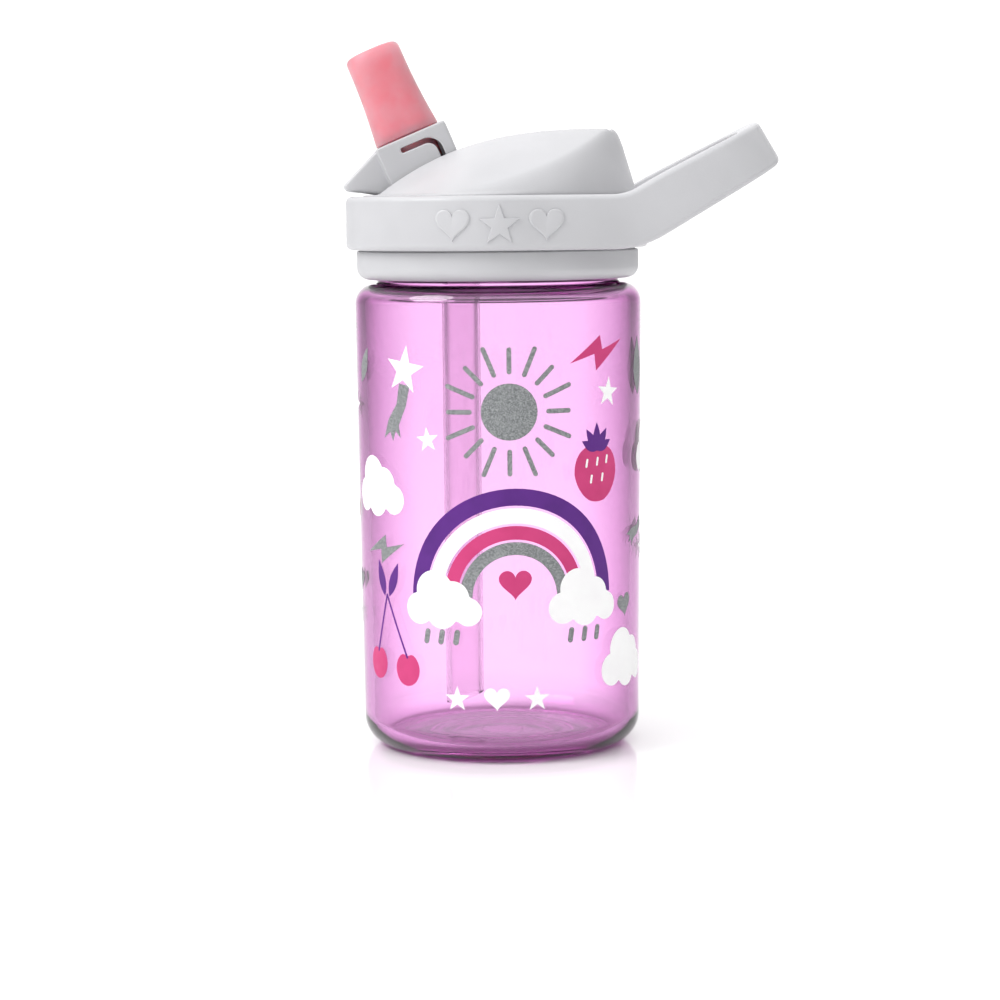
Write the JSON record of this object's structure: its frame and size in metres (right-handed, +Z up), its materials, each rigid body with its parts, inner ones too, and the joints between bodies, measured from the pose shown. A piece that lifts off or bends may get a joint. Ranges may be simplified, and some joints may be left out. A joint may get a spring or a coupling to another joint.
{
  "type": "kids water bottle",
  "caption": "Clear violet children's drinking bottle with a grey screw cap, a pink folding bite spout, a straw and a raised finger loop.",
  "frame": {"origin": "centre of the base, on the surface that the bottle stands on", "axes": "+Z up the bottle's axis, the open spout leans towards -X, the finger loop rises towards +X"},
  "size_m": [0.1099, 0.077, 0.1793],
  "materials": {
    "clear_body": "clear tinted copolyester, glossy",
    "cap_plastic": "fine satin texture",
    "bite_silicone": "translucent satin silicone",
    "clear_silicone": "translucent satin silicone",
    "straw_plastic": "smooth extruded tube"
  },
  "bodies": {
    "bottle": {"bottle_body": "clear_body"},
    "gasket": {"cap_gasket": "clear_silicone"},
    "cap": {"cap_body": "cap_plastic", "cap_dome": "cap_plastic", "handle_band": "cap_plastic", "vent_valve": "clear_silicone", "spout_seal": "clear_silicone", "straw": "straw_plastic"},
    "spout": {"spout_stem": "cap_plastic"},
    "mouthpiece": {"bite_valve": "bite_silicone"}
  },
  "joints": [
    {"name": "cap_lift", "type": "slide", "parent": "bottle", "child": "gasket", "axis": [0, 0, 1], "range_m": [0, 0.0034]},
    {"name": "cap_turn", "type": "hinge", "parent": "gasket", "child": "cap", "pos_m": [0, 0, 0.125], "axis": [0, 0, 1], "range_deg": [0, 270]},
    {"name": "spout_flip", "type": "hinge", "parent": "cap", "child": "spout", "pos_m": [-0.0175, 0, 0.1436], "axis": [0, 1, 0], "range_deg": [0, 104]},
    {"name": "bite_valve_pull", "type": "slide", "parent": "spout", "child": "mouthpiece", "axis": [-0.3875, 0, 0.9219], "range_m": [0, 0.0085]}
  ],
  "couplings": [
    {"joint": "cap_lift", "follows": "cap_turn", "m_per_rad": 0.0007162}
  ]
}
